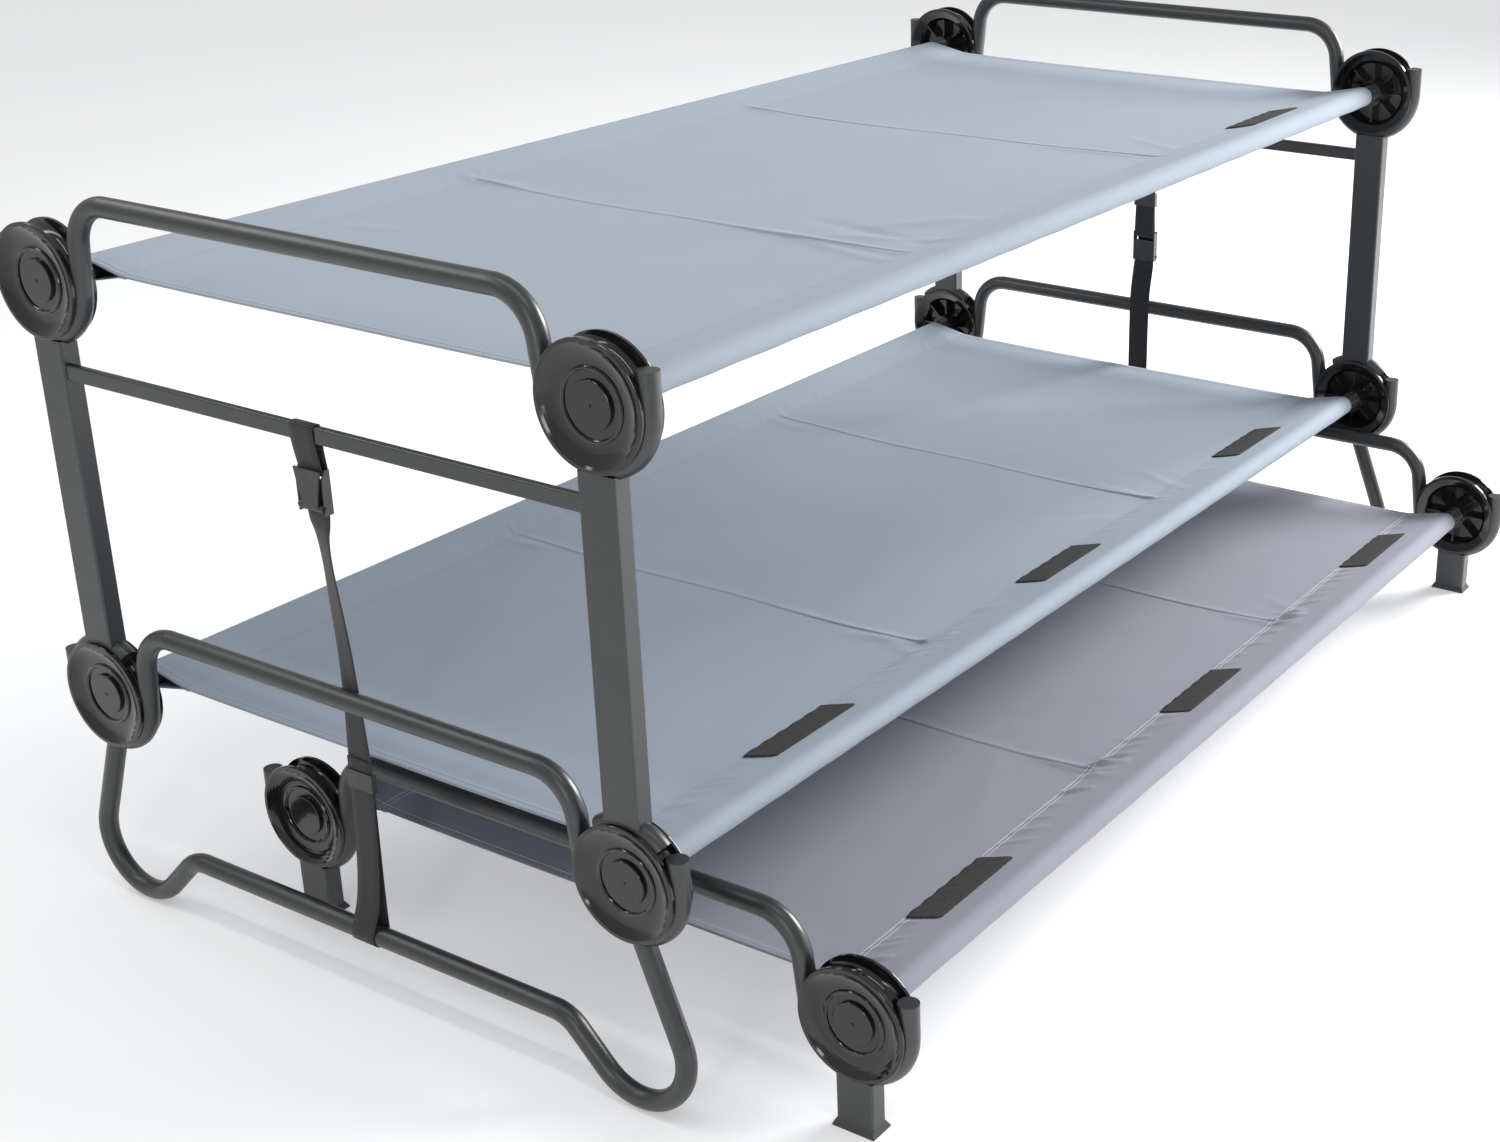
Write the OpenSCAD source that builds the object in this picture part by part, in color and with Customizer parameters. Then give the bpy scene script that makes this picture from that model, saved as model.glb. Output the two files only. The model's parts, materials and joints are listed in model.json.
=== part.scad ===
// A two-high camp cot with a low trundle cot that slides out from under it.
// Each cot is a fabric deck on two side rails. The grooved disc on each rail end
// sits in the hooked end of a bent end rail, and turns there with its side rail.
// X runs along the cots, Y across them towards the back, and Z up from the floor.
// The origin is on the floor under the middle of the whole. Lengths are in millimetres.

/* [Bunk] */
// Distance between the middles of the two end rails
frame_span = 1945; // [1500:5:2300]
// Distance between the middles of a cot's two side rails
rail_spacing = 864; // [640:2:1100]
// Height of the upper side rails
upper_h = 842; // [780:1:1000]
// Height of the lower side rails
lower_h = 300; // [292:1:340]

/* [Trundle] */
// Height of the trundle's side rails
trundle_h = 141; // [120:1:155]
// How much shorter than the bunk the trundle is at each end
trundle_inset = 75; // [65:1:200]
// How far the trundle stands off the middle, towards the far end
trundle_shift = 29; // [0:1:32]
// How far the trundle is pulled out in front of the bunk
trundle_pull = 222; // [0:1:900]

/* [Tubes] */
// Diameter of the bent end tubes
tube_d = 25; // [22:0.5:26]
// Wall of every steel tube
tube_wall = 1.5; // [1:0.1:2.5]
// Width of the posts and trundle legs
post_w = 50; // [40:1:60]
// Thickness of the posts and trundle legs
post_t = 25; // [18:0.5:25]
// Corner radius of the posts and trundle legs
post_corner_r = 3; // [2.6:0.1:5]
// Height of the crossbars
bar_s = 20; // [16:0.5:24]
// Thickness of the crossbars
bar_t = 10; // [8:0.5:14]
// How far the crossbars' outer faces lie behind the posts' outer faces
bar_set = 2.5; // [1:0.25:4]
// Corner radius of the crossbars
bar_corner_r = 2.6; // [2.6:0.1:3.5]
// Depth of the crossbars below the upper side rails
bar_drop = 110; // [105:1:200]
// Angle of the saddle's inner end round the lower disc, in degrees
saddle_from = 55; // [53:1:75]
// Angle of the saddle's outer end round the lower disc, in degrees
saddle_to = 133; // [105:1:134]

/* [End rails] */
// Radius of the hook's middle line round the disc
hook_r = 67; // [64:0.5:69]
// Height of the hook's outer tip above the side rail
hook_tip_h = 45; // [20:1:46]
// Height of the end rail's top bar above the side rail
arch_rise = 102; // [98:1:110]
// Radius of the bend between a leg and the top bar
arch_bend_r = 57; // [40:1:62]
// Lean of the end rail's legs towards the middle, in degrees
leg_lean = 7; // [4:0.5:9]
// Thickness of the plug that closes a hook's tip
tip_plug_t = 2.5; // [2:0.1:5]

/* [Foot tubes] */
// Radius of the foot's round lobe
lobe_r = 70; // [60:1:75]
// Distance of the lobe's middle inside the side rail
lobe_in = 8.75; // [5:0.25:15]
// Outward lean of the foot below the hook, in degrees
foot_lean = 21; // [18:0.5:23]
// Slope of the foot up to its bar, in degrees
foot_climb = 45; // [40:1:50]
// Radius of the bend into the bar
foot_bend_r = 50; // [40:1:60]
// Height of the bar's middle above the floor
foot_bar_h = 87; // [80:1:95]

/* [Discs] */
// Radius of the disc's flanges
flange_r = 71; // [70:0.25:72]
// Width of the disc at its rim
disc_w = 35; // [32:0.5:38]
// Width of the flat rim round the dished face
rim_w = 5; // [4:0.25:6]
// Depth of the dish below the rim
dish_depth = 8.5; // [7:0.25:9]
// Outer radius of the ridge inside the dish
ridge_r = 41; // [39:0.25:43]
// Width of the ridge
ridge_w = 5; // [3:0.25:6]
// Depth of the ridge below the rim
ridge_depth = 6; // [5:0.25:6.5]
// Radius of the flat hub face
hub_r = 27; // [24:0.5:30]
// Depth of the hub face below the rim
hub_depth = 4.5; // [4:0.25:5.5]
// Radius of the pip at the middle of the hub
pip_r = 2; // [1:0.25:3]
// Height of the pip
pip_h = 0.8; // [0.5:0.1:1]
// Radius of the boss round the side rail
boss_r = 21; // [19:0.5:23]
// Distance from the disc's middle to the end of the boss
boss_l = 25; // [22:0.5:30]
// Number of ribs on the inner face
rib_count = 8; // [4:1:12]
// Thickness of a rib
rib_t = 3; // [2:0.25:4]
// Thickness of the web between the dish and the ribs
web_t = 4; // [3.5:0.25:5]
// Thickness of the wall between the groove and the ribbed cavity
groove_wall = 5; // [4:0.25:6]
// Radius of the pin through the boss
pin_r = 2.5; // [2:0.25:3]

/* [Side rails] */
// Diameter of the side rails
rail_d = 28; // [26:0.5:30]
// Length of a side rail's end section, from the disc's middle to the joint
rail_end_l = 630; // [300:5:640]
// Length of the neck at each joint of a side rail
neck_l = 60; // [40:5:100]

/* [Decks] */
// Thickness of the deck fabric
fabric_t = 1.2; // [0.8:0.1:2]
// Distance from a side rail's middle to the stitches of its sleeve
hem_w = 70; // [50:1:90]
// Width of the double cloth at the stitches
seam_w = 6; // [5:0.5:10]
// Distance from an end rail's middle to the deck's edge
deck_in = 50; // [40:1:80]

/* [Trundle feet] */
// Length across of a foot plate
foot_plate_w = 57; // [52:1:70]
// Length along of a foot plate
foot_plate_l = 33; // [30:1:45]
// Thickness of a foot plate's flat edge
foot_plate_t = 2; // [1.5:0.25:4]
// Height of a foot plate's flare
foot_flare_h = 7; // [5:0.5:10]

/* [Straps] */
// Width of the webbing
web_w = 38; // [25:1:40]
// Thickness of the webbing
web_thick = 1.6; // [1.2:0.1:2]
// Depth of the near buckle's pin below the crossbar
near_buckle_drop = 88; // [86:1:150]
// Where the far buckle's pin lies between the crossbar and the lower end rail's top bar
far_buckle_share = 0.712; // [0.6:0.004:0.724]
// Height of the near strap's slide
near_slide_h = 290; // [200:1:320]
// Where the far strap's slide lies between the crossbar and the lower end rail's top bar
far_slide_share = 0.388; // [0.3:0.004:0.42]
// Length of a strap slide
slide_l = 24; // [15:1:30]
// Height that the far strap's lower loop is doubled up to
foot_tail_h = 190; // [160:1:260]
// Radius of the buckle's top bar
top_bar_r = 3; // [2:0.25:3.5]
// Radius of the buckle's lever pin
lever_pin_r = 2; // [1.5:0.1:2.5]
// Radius of the lever's cam round its pin
cam_r = 5; // [4:0.1:6]
// Length of the lever from its pin
lever_l = 46; // [40:1:50]
// Width of the lever's thumb end
lever_w = 42; // [30:1:44]
// Width of the lever near its pin
lever_neck_w = 24; // [20:1:30]
// Thickness of the lever
lever_t = 2.5; // [2:0.1:3]
// Thickness of the buckle's cheeks and back plate
cheek_t = 2; // [1.5:0.1:3]

/* [Hidden] */
// Gap of a running fit between a hook and its disc, or a sleeve and its rail
run_gap = 0.3;
// Gap at a joint that is welded
weld_gap = 0.2;
// Radial gap of a pin or neck in its bore
pin_gap = 0.05;
// Overrun of a cut past the face that it opens
over = 1;
// Room kept between a flange and what ends beside it
flange_room = 1;
// How far the bead at a joint of straight and bent tube stands proud
bead = 0.15;
tube_fn = 48;
disc_fn = 96;

COTS = ["upper", "lower", "trundle"];
SIDES = ["front", "back"];
ENDS = ["near", "far"];

tube_r = tube_d / 2;
rail_r = rail_d / 2;
rail_bore_r = rail_r - tube_wall;
neck_r = rail_bore_r - pin_gap;
disc_face = disc_w / 2;
disc_floor = disc_face - dish_depth - web_t;
cavity_r = hook_r - tube_r - run_gap - groove_wall;
cavity_lip = disc_face - 1.3 * rim_w;
pin_in = (disc_face + boss_l) / 2;
top_bar_up = lever_l - cam_r + run_gap;
tail_up = top_bar_up - 2 * cam_r;
lever_x = -web_thick / 2 - run_gap - cam_r;
strap_x = tube_r + run_gap + web_thick;
bar_x = bar_set + bar_t / 2 - post_t / 2;
bar_h = upper_h - bar_drop;
strap_run_l = bar_h - lower_h - arch_rise;
trundle_span = frame_span - 2 * trundle_inset;
bunk_y = trundle_pull / 2;
trundle_y = -trundle_pull / 2;

// Where a cot stands: its middle along X, its middle along Y, its height and its span
function cot_x(c) = c == "trundle" ? trundle_shift : 0;
function cot_y(c) = c == "trundle" ? trundle_y : bunk_y;
function cot_h(c) = c == "trundle" ? trundle_h : c == "lower" ? lower_h : upper_h;
function cot_span(c) = c == "trundle" ? trundle_span : frame_span;
function side_sign(s) = s == "front" ? -1 : 1;
function end_sign(e) = e == "near" ? -1 : 1;

// The end rail's leg runs from the foot of the hook's inner side to the arch bend
leg_foot = hook_r * [cos(leg_lean), -sin(leg_lean)];
leg_top_v = arch_rise - arch_bend_r + arch_bend_r * sin(leg_lean);
leg_l = (leg_top_v - leg_foot.y) / cos(leg_lean);
bend_u = leg_foot.x + leg_l * sin(leg_lean) + arch_bend_r * cos(leg_lean);
arch_bar_l = rail_spacing - 2 * bend_u;

// The foot tube's lobe, its run up to the hook and its climb to the bar
lobe_middle = [lobe_in, tube_r + lobe_r];
lobe_start = 180 - foot_lean;
lobe_end = 270 + foot_climb;
lobe_top = lobe_middle + lobe_r * [cos(lobe_start), sin(lobe_start)];
climb_foot = lobe_middle + lobe_r * [cos(lobe_end), sin(lobe_end)];
foot_bend_v = foot_bar_h - foot_bend_r;
climb_top_v = foot_bend_v + foot_bend_r * cos(foot_climb);
climb_l = (climb_top_v - climb_foot.y) / sin(foot_climb);
foot_bend_u = climb_foot.x + climb_l * cos(foot_climb) + foot_bend_r * sin(foot_climb);
foot_bar_l = rail_spacing - 2 * foot_bend_u;
foot_top_h = lower_h - hook_r;
foot_run_l = (foot_top_h - lobe_top.y) / cos(foot_lean);

// Points along a round corner, from one angle to another
function corner(middle, r, from, to, steps = 4) =
    [for (i = [0:steps]) let (a = from + (to - from) * i / steps) middle + r * [cos(a), sin(a)]];

// Stands children that are drawn for the near end, with X pointing inwards, at a cot's end
module at_end(c, e) {
    translate([cot_x(c) + end_sign(e) * cot_span(c) / 2, cot_y(c), 0])
        mirror([e == "far" ? 1 : 0, 0, 0]) children();
}

// Turns a drawing of the front side, from the disc's middle inwards, to a side of the end frame
module at_side(s, h) {
    mirror([0, s == "back" ? 1 : 0, 0])
        translate([0, -rail_spacing / 2, h]) rotate([90, 0, 90]) children();
}

// A straight round bar from a point, along an angle in the drawing's plane
module straight_bar(r, from, angle, length) {
    translate([from.x, from.y, 0]) rotate([0, 0, angle]) rotate([0, 90, 0])
        cylinder(r = r, h = length, $fn = tube_fn);
}

// A round bar bent about a point, between two angles in the drawing's plane
module bent_bar(r, middle, bend_r, from, to) {
    translate([middle.x, middle.y, 0]) rotate([0, 0, from])
        rotate_extrude(angle = to - from, $fn = disc_fn) translate([bend_r, 0])
            circle(r = r, $fn = tube_fn);
}

// A bead round a joint of straight and bent tube, with its poles along the tube
module tube_joint(r, point, angle) {
    translate([point.x, point.y, 0]) rotate([0, 0, angle]) rotate([0, 90, 0])
        sphere(r = r + bead, $fn = tube_fn);
}

// The space round a hook and its disc that a welded post, leg or foot is cut back from
module hook_room() {
    rotate_extrude($fn = disc_fn) translate([hook_r, 0])
        circle(r = tube_r + weld_gap, $fn = tube_fn);
    translate([0, 0, -disc_w]) cylinder(r = flange_r + flange_room, h = 2 * disc_w, $fn = disc_fn);
}

module rounded_square(w, t, r) {
    square([w - 2 * r, t], center = true);
    square([w, t - 2 * r], center = true);
    for (i = [-1, 1], j = [-1, 1])
        translate([i * (w / 2 - r), j * (t / 2 - r)]) circle(r = r, $fn = tube_fn);
}

module box_section(w, t, r) {
    difference() {
        rounded_square(w, t, r);
        rounded_square(w - 2 * tube_wall, t - 2 * tube_wall, r - tube_wall);
    }
}

// The run of an end rail, as a round bar: two hooks, two legs and the top bar between them
module end_rail_run(r, h, tip_h) {
    for (s = SIDES) at_side(s, h) {
        straight_bar(r, [-hook_r, 0], 90, tip_h);
        bent_bar(r, [0, 0], hook_r, 180, 360 - leg_lean);
        tube_joint(r, [-hook_r, 0], 90);
        tube_joint(r, leg_foot, 90 - leg_lean);
        straight_bar(r, leg_foot, 90 - leg_lean, leg_l);
        tube_joint(r, leg_foot + leg_l * [sin(leg_lean), cos(leg_lean)], 90 - leg_lean);
        bent_bar(r, [bend_u, arch_rise - arch_bend_r], arch_bend_r, 90, 180 - leg_lean);
        tube_joint(r, [bend_u, arch_rise], 0);
        straight_bar(r, [bend_u, arch_rise], 0, arch_bar_l / 2);
    }
    translate([0, 0, h + arch_rise]) rotate([90, 0, 0]) sphere(r = r + bead, $fn = tube_fn);
}

module end_rail(c, e) {
    color("#484d4f") at_end(c, e) difference() {
        end_rail_run(tube_r, cot_h(c), hook_tip_h);
        end_rail_run(tube_r - tube_wall, cot_h(c), hook_tip_h - tip_plug_t);
    }
}

// A post hangs from the upper hook and stands on the lower disc in a curved saddle
module post(s, e) {
    post_top = upper_h - lower_h - flange_r - flange_room;
    post_foot = flange_r + flange_room;
    saddle_top = hook_r + tube_r;
    color("#45494b") at_end("lower", e) at_side(s, lower_h) {
        difference() {
            translate([0, post_foot, 0]) rotate([-90, 0, 0])
                linear_extrude(post_top - post_foot) rounded_square(post_w, post_t, post_corner_r);
            translate([0, saddle_top, 0]) rotate([-90, 0, 0])
                linear_extrude(post_top)
                    rounded_square(post_w - 2 * tube_wall, post_t - 2 * tube_wall,
                        post_corner_r - tube_wall);
            translate([0, upper_h - lower_h, 0]) hook_room();
        }
        rotate([0, 0, saddle_from]) rotate_extrude(angle = saddle_to - saddle_from, $fn = disc_fn)
            translate([hook_r, 0]) circle(r = tube_r, $fn = tube_fn);
    }
}

module crossbar(e) {
    bar_l = rail_spacing - post_w - 2 * weld_gap;
    color("#484d4f") at_end("upper", e) translate([bar_x, 0, bar_h]) rotate([90, 0, 0])
        linear_extrude(bar_l, center = true) box_section(bar_t, bar_s, bar_corner_r);
}

// The run of a foot tube, as a round bar: from one hook down round a lobe and across
module foot_run(r) {
    for (s = SIDES) at_side(s, 0) {
        straight_bar(r, lobe_top, 90 - foot_lean, foot_run_l);
        tube_joint(r, lobe_top, 90 - foot_lean);
        bent_bar(r, lobe_middle, lobe_r, lobe_start, lobe_end);
        tube_joint(r, climb_foot, foot_climb);
        straight_bar(r, climb_foot, foot_climb, climb_l);
        tube_joint(r, climb_foot + climb_l * [cos(foot_climb), sin(foot_climb)], foot_climb);
        bent_bar(r, [foot_bend_u, foot_bend_v], foot_bend_r, 90, 90 + foot_climb);
        tube_joint(r, [foot_bend_u, foot_bar_h], 0);
        straight_bar(r, [foot_bend_u, foot_bar_h], 0, foot_bar_l / 2);
    }
    translate([0, 0, foot_bar_h]) rotate([90, 0, 0]) sphere(r = r + bead, $fn = tube_fn);
}

module foot_tube(e) {
    color("#3f4446") at_end("lower", e) difference() {
        foot_run(tube_r);
        foot_run(tube_r - tube_wall);
        for (s = SIDES) at_side(s, lower_h) hook_room();
    }
}

module trundle_leg(s, e) {
    leg_foot_h = foot_flare_h + foot_plate_t;
    color("#45494b") at_end("trundle", e) at_side(s, 0) difference() {
        translate([0, leg_foot_h, 0]) rotate([-90, 0, 0])
            linear_extrude(trundle_h - flange_r - flange_room - leg_foot_h)
                box_section(post_w, post_t, post_corner_r);
        translate([0, trundle_h, 0]) hook_room();
    }
}

// The outline of a foot plate seen from one side: a flat edge, a flare and a plug in the leg
module foot_plate_outline(plate, leg) {
    polygon([
        [-plate / 2, 0], [plate / 2, 0], [plate / 2, foot_plate_t],
        [leg / 2, foot_plate_t + foot_flare_h], [-leg / 2, foot_plate_t + foot_flare_h],
        [-plate / 2, foot_plate_t]
    ]);
}

module trundle_foot_plates() {
    plug_t = post_t - 2 * tube_wall - 2 * pin_gap;
    plug_w = post_w - 2 * tube_wall - 2 * pin_gap;
    color("#3a3d3f") for (e = ENDS, s = SIDES) at_end("trundle", e) at_side(s, 0) {
        intersection() {
            linear_extrude(foot_plate_l, center = true) foot_plate_outline(foot_plate_w, post_w);
            rotate([0, 90, 0]) linear_extrude(foot_plate_w, center = true)
                foot_plate_outline(foot_plate_l, post_t);
        }
        translate([0, foot_plate_t, 0]) rotate([-90, 0, 0])
            linear_extrude(2 * foot_flare_h) rounded_square(plug_w, plug_t, post_corner_r - tube_wall);
    }
}

// A disc's outline, as radius and distance outwards from its middle
module disc_outline() {
    rim_in_r = flange_r - rim_w;
    bowl_run = rim_in_r - ridge_r;
    bowl_r = (bowl_run * bowl_run + dish_depth * dish_depth) / (2 * dish_depth);
    bowl_angle = asin(bowl_run / bowl_r);
    hub_edge = ridge_w / 4;
    rim_edge = rim_w / 4;
    hub_face = disc_face - hub_depth;
    ridge_h = disc_face - ridge_depth - ridge_w / 2;
    polygon(concat(
        [[0, hub_face]],
        corner([hub_r - hub_edge, hub_face - hub_edge], hub_edge, 90, 0),
        [[hub_r, ridge_h], [ridge_r - ridge_w, ridge_h]],
        corner([ridge_r - ridge_w / 2, ridge_h], ridge_w / 2, 180, 0, 6),
        corner([ridge_r, disc_face - dish_depth + bowl_r], bowl_r, 270, 270 + bowl_angle, 8),
        corner([flange_r - rim_edge, disc_face - rim_edge], rim_edge, 90, 0),
        corner([flange_r - rim_edge, rim_edge - disc_face], rim_edge, 0, -90),
        [[rim_in_r, -disc_face], [cavity_r + groove_wall, -cavity_lip], [cavity_r, -rim_w]],
        [[cavity_r, disc_floor], [boss_r, disc_floor], [boss_r, -boss_l], [0, -boss_l]]
    ));
}

// Stands children that are drawn with Z outwards from the disc's middle
module at_disc(c, s, e) {
    translate([
        cot_x(c) + end_sign(e) * cot_span(c) / 2,
        cot_y(c) + side_sign(s) * rail_spacing / 2,
        cot_h(c)
    ]) rotate([0, end_sign(e) * 90, 0]) children();
}

// The groove's section: round at the bottom, with straight sides from the hook's middle line out
module disc_groove() {
    groove_r = tube_r + run_gap;
    rotate_extrude($fn = disc_fn) translate([hook_r, 0]) {
        circle(r = groove_r, $fn = tube_fn);
        translate([0, -groove_r]) square([groove_r, 2 * groove_r]);
    }
}

// The hole for the pin that holds a disc to its rail, or the pin itself
module disc_pin(r, length) {
    translate([0, 0, -pin_in]) rotate([90, 0, 0])
        cylinder(r = r, h = length, center = true, $fn = tube_fn);
}

module disc(c, s, e) {
    color("#26282a") at_disc(c, s, e) {
        difference() {
            union() {
                rotate_extrude($fn = disc_fn) disc_outline();
                for (i = [1:rib_count]) rotate([0, 0, i * 360 / rib_count])
                    translate([boss_r - over, -rib_t / 2, -cavity_lip])
                        cube([cavity_r + over - boss_r, rib_t, cavity_lip + disc_floor + over]);
                translate([0, 0, disc_face - hub_depth - over])
                    cylinder(r = pip_r, h = pip_h + over, $fn = tube_fn);
            }
            disc_groove();
            translate([0, 0, -boss_l - over])
                cylinder(r = rail_r + pin_gap, h = boss_l + over + disc_floor, $fn = tube_fn);
            disc_pin(pin_r + pin_gap, 2 * boss_r + 2 * over);
        }
    }
}

module disc_pins(c, s) {
    color("silver") for (e = ENDS) at_disc(c, s, e) disc_pin(pin_r, 2 * boss_r);
}

// A side rail's end section: a tube from the disc's socket to the joint, and the neck past it
module rail_ends(c, s) {
    collar_l = 4 * tube_wall;
    color("silver") for (e = ENDS) at_disc(c, s, e) difference() {
        union() {
            translate([0, 0, -rail_end_l])
                cylinder(r = rail_r, h = rail_end_l + disc_floor - run_gap, $fn = tube_fn);
            translate([0, 0, -rail_end_l - neck_l])
                cylinder(r = neck_r, h = neck_l + over, $fn = tube_fn);
        }
        translate([0, 0, -rail_end_l + collar_l])
            cylinder(r = rail_bore_r, h = rail_end_l + boss_l, $fn = tube_fn);
        translate([0, 0, -rail_end_l - neck_l - over])
            cylinder(r = neck_r - tube_wall, h = neck_l + collar_l + 2 * over, $fn = tube_fn);
        disc_pin(pin_r + pin_gap, 2 * boss_r);
    }
}

module rail_middle(c, s) {
    middle_l = cot_span(c) - 2 * rail_end_l - 2 * weld_gap;
    color("silver") translate([cot_x(c), cot_y(c) + side_sign(s) * rail_spacing / 2, cot_h(c)])
        rotate([0, 90, 0]) difference() {
            cylinder(r = rail_r, h = middle_l, center = true, $fn = tube_fn);
            cylinder(r = rail_bore_r, h = middle_l + 2 * over, center = true, $fn = tube_fn);
        }
}

// Points of a drop shape: round a circle, with straight runs to a point on its right.
// A slit opens the point to a height above and below the middle line.
function drop(r, point, slit) =
    let (a = acos(r / point), tip = point - slit * (point - r * cos(a)) / (r * sin(a)))
    concat([[tip, slit]], corner([0, 0], r, a, 360 - a, 36), [[tip, -slit]]);
function beside(p, sign) = [for (q = p) [sign * (q.x - rail_spacing / 2), q.y]];
function reversed(p) = [for (i = [len(p) - 1:-1:0]) p[i]];

// The deck: a flat cloth whose two edges are sewn into sleeves round the side rails
module deck(c) {
    sleeve_r = rail_r + run_gap;
    deck_l = cot_span(c) - 2 * deck_in;
    sleeve = drop(sleeve_r + fabric_t, hem_w, fabric_t / 2);
    color("#aab4c0") translate([cot_x(c), cot_y(c), cot_h(c)]) rotate([90, 0, 90]) difference() {
        linear_extrude(deck_l, center = true)
            polygon(concat(beside(sleeve, 1), beside(reversed(sleeve), -1)));
        for (m = [-1, 1]) linear_extrude(deck_l + 2 * over, center = true)
            polygon(beside(drop(sleeve_r, hem_w - seam_w, 0), m));
    }
}

// The two edges of a band that follows a run of points
function across(p, i) =
    let (d = p[min(i + 1, len(p) - 1)] - p[max(i - 1, 0)]) [-d.y, d.x] / norm(d);
function band(p, t) = concat(
    [for (i = [0:len(p) - 1]) p[i] + across(p, i) * t / 2],
    [for (i = [len(p) - 1:-1:0]) p[i] - across(p, i) * t / 2]
);

function buckle_h(e) = bar_h - (e == "near" ? near_buckle_drop : far_buckle_share * strap_run_l);
function slide_h(e) = e == "near" ? near_slide_h : bar_h - far_slide_share * strap_run_l;
function slide_x(e) = e == "near" ? strap_x : 0;

// Stands a section, drawn in X inwards and Y up, as wide as the webbing in an end's middle
module strap_section(e) {
    at_end("lower", e) rotate([90, 0, 0]) linear_extrude(web_w, center = true) children();
}

// The loop of a strap round a bar, seen from one side
module strap_loop(e, h, bar_r) {
    strap_section(e) translate([0, h]) difference() {
        circle(r = bar_r + run_gap + web_thick, $fn = tube_fn);
        circle(r = bar_r + run_gap, $fn = tube_fn);
    }
}

module strap_webbing(e) {
    bar_foot_h = bar_h - bar_s / 2 - run_gap - web_thick / 2;
    loop_foot_h = buckle_h(e) + top_bar_up + top_bar_r + run_gap + web_thick / 2;
    foot_top = foot_bar_h + tube_r + run_gap + web_thick / 2;
    arch_h = lower_h + arch_rise;
    low_slide_h = e == "near" ? near_slide_h : foot_tail_h;
    color("#2b2d2f") {
        strap_section(e) translate([bar_x, bar_h]) difference() {
            square([bar_t, bar_s] + 2 * (run_gap + web_thick) * [1, 1], center = true);
            square([bar_t, bar_s] + 2 * run_gap * [1, 1], center = true);
        }
        strap_section(e) polygon(band(concat(
            [[bar_x, bar_foot_h]],
            e == "far" ? [[0, slide_h(e) + slide_l]] : [],
            [[0, loop_foot_h]]
        ), 2 * web_thick));
        strap_loop(e, buckle_h(e) + top_bar_up, top_bar_r);
        strap_section(e) polygon(band([
            [0, buckle_h(e) + tail_up], [0, buckle_h(e) - tail_up],
            [strap_x, arch_h + tube_d], [strap_x, low_slide_h - slide_l], [0, foot_top]
        ], web_thick));
        strap_section(e) polygon(band([
            [strap_x - web_thick, low_slide_h + slide_l],
            [strap_x - web_thick, low_slide_h - slide_l], [0, foot_top]
        ], web_thick));
        strap_loop(e, foot_bar_h, tube_r);
    }
}

// The cam buckle: two cheeks on a back plate, the bar that the loop hangs it by, and the pin
module strap_buckle(e) {
    back_x = web_thick / 2 + run_gap;
    inner_w = web_w + 4 * run_gap;
    head_t = cheek_t / 2;
    color("#232527") {
        at_end("lower", e) {
            for (m = [0, 1]) mirror([0, m, 0])
                translate([0, inner_w / 2 + cheek_t, buckle_h(e)]) rotate([90, 0, 0])
                    linear_extrude(cheek_t) polygon([
                        [lever_x - cam_r / 2, -cam_r - cheek_t],
                        [back_x + cheek_t, -cam_r - cheek_t],
                        [back_x + cheek_t, top_bar_up + cam_r], [-top_bar_r, top_bar_up + cam_r],
                        [lever_x - cam_r / 2, top_bar_up - cam_r]
                    ]);
            translate([back_x, -inner_w / 2 - cheek_t / 2, buckle_h(e) - cam_r - cheek_t])
                cube([cheek_t, inner_w + cheek_t, tail_up + cam_r + cheek_t]);
            translate([0, 0, buckle_h(e) + top_bar_up]) rotate([90, 0, 0])
                cylinder(r = top_bar_r, h = inner_w + cheek_t, center = true, $fn = tube_fn);
            translate([lever_x, 0, buckle_h(e)]) rotate([90, 0, 0])
                cylinder(r = lever_pin_r, h = inner_w + 2 * cheek_t + 2 * head_t, center = true,
                    $fn = tube_fn);
            for (m = [0, 1]) mirror([0, m, 0])
                translate([lever_x, inner_w / 2 + cheek_t + head_t, buckle_h(e)]) rotate([90, 0, 0])
                    cylinder(r = lever_pin_r + head_t, h = head_t, $fn = tube_fn);
        }
    }
}

// The lever: a thumb plate on a cam that turns on the buckle's pin
module strap_lever(e) {
    plate_x = lever_x - cam_r / 2 - run_gap;
    color("#2f3133") at_end("lower", e) translate([0, 0, buckle_h(e)]) difference() {
        union() {
            translate([lever_x, 0, 0]) rotate([90, 0, 0])
                cylinder(r = cam_r, h = web_w, center = true, $fn = tube_fn);
            translate([plate_x, 0, 0]) rotate([0, -90, 0]) linear_extrude(lever_t) polygon([
                [0, -lever_neck_w / 2], [lever_l, -lever_w / 2],
                [lever_l, lever_w / 2], [0, lever_neck_w / 2]
            ]);
        }
        translate([lever_x, 0, 0]) rotate([90, 0, 0])
            cylinder(r = lever_pin_r + pin_gap, h = web_w + 2 * over, center = true, $fn = tube_fn);
    }
}

// The slide: a flat loop that holds the doubled webbing together
module strap_slide(e) {
    slot_t = 2 * web_thick + 2 * run_gap;
    slot_w = web_w + 2 * run_gap;
    shift_x = e == "near" ? -web_thick / 2 : 0;
    color("#232527") at_end("lower", e)
        translate([slide_x(e) + shift_x, 0, slide_h(e) - slide_l / 2]) linear_extrude(slide_l)
            difference() {
                square([slot_t + 2 * cheek_t, slot_w + 2 * cheek_t], center = true);
                square([slot_t, slot_w], center = true);
            }
}

for (c = COTS) {
    deck(c);
    for (e = ENDS) end_rail(c, e);
    for (s = SIDES) {
        rail_ends(c, s);
        rail_middle(c, s);
        disc_pins(c, s);
        for (e = ENDS) disc(c, s, e);
    }
}
for (e = ENDS) {
    crossbar(e);
    foot_tube(e);
    strap_webbing(e);
    strap_buckle(e);
    strap_lever(e);
    strap_slide(e);
    for (s = SIDES) {
        post(s, e);
        trundle_leg(s, e);
    }
}
trundle_foot_plates();
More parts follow.
